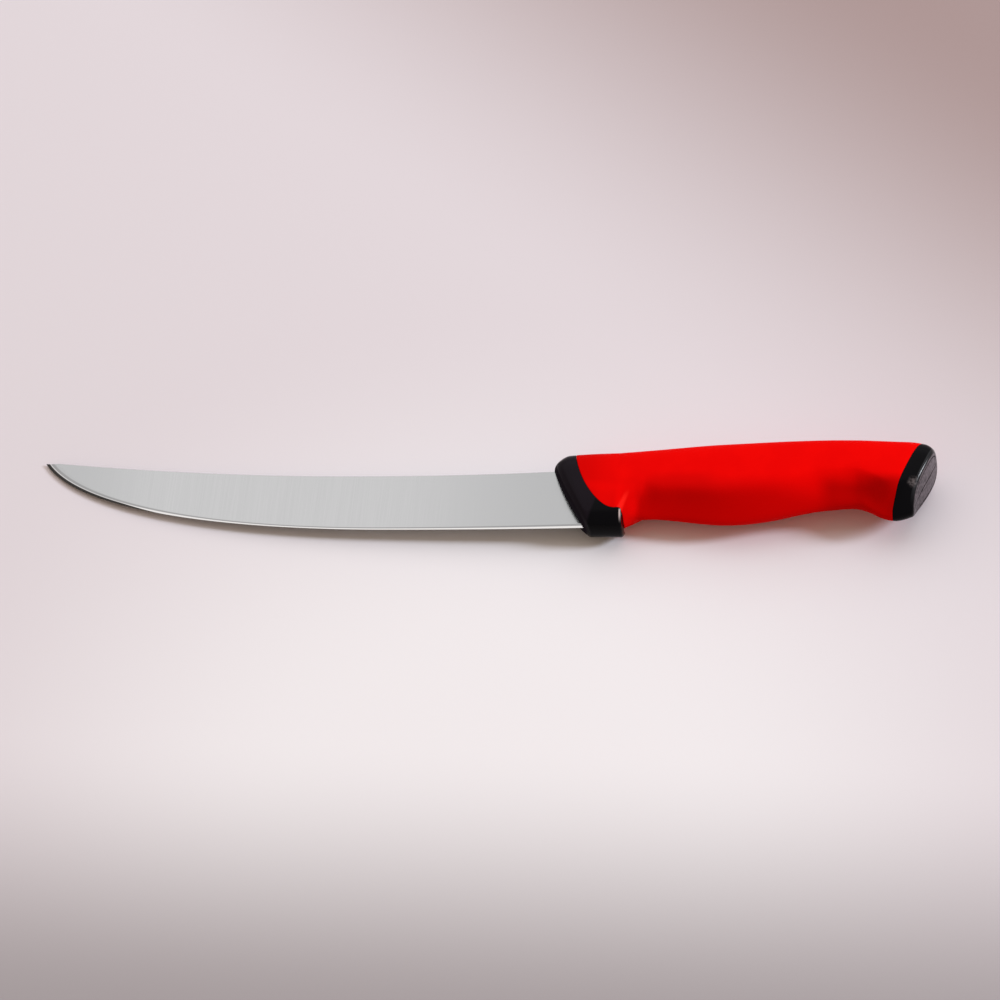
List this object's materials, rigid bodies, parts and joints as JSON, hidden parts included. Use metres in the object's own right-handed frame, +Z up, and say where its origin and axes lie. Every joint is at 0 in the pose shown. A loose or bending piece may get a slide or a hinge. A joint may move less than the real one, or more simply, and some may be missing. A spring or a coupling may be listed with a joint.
{
  "type": "steak knife",
  "caption": "Steak knife with a long curved steel blade and an ergonomic handle moulded in hard black plastic and soft red grip material.",
  "frame": {"origin": "middle of the bounding box at the height of the table, with the knife lying on its side as it is put down: the blade near its tip and the widest part of the handle touch the table", "axes": "X runs along the knife from the tip to the butt, Y from the cutting edge to the spine, and Z up from the table through the thickness"},
  "size_m": [0.3256, 0.037, 0.0235],
  "materials": {
    "blade_steel": "satin stainless steel, ground flat with very fine streaks across the blade, with a brighter cutting bevel",
    "core_plastic": "hard black moulded plastic, satin, with a fine grain",
    "grip_rubber": "soft red thermoplastic rubber, matt and smooth"
  },
  "bodies": {
    "root": {"blade": "blade_steel", "handle_core": "core_plastic", "grip": "grip_rubber"}
  },
  "joints": []
}
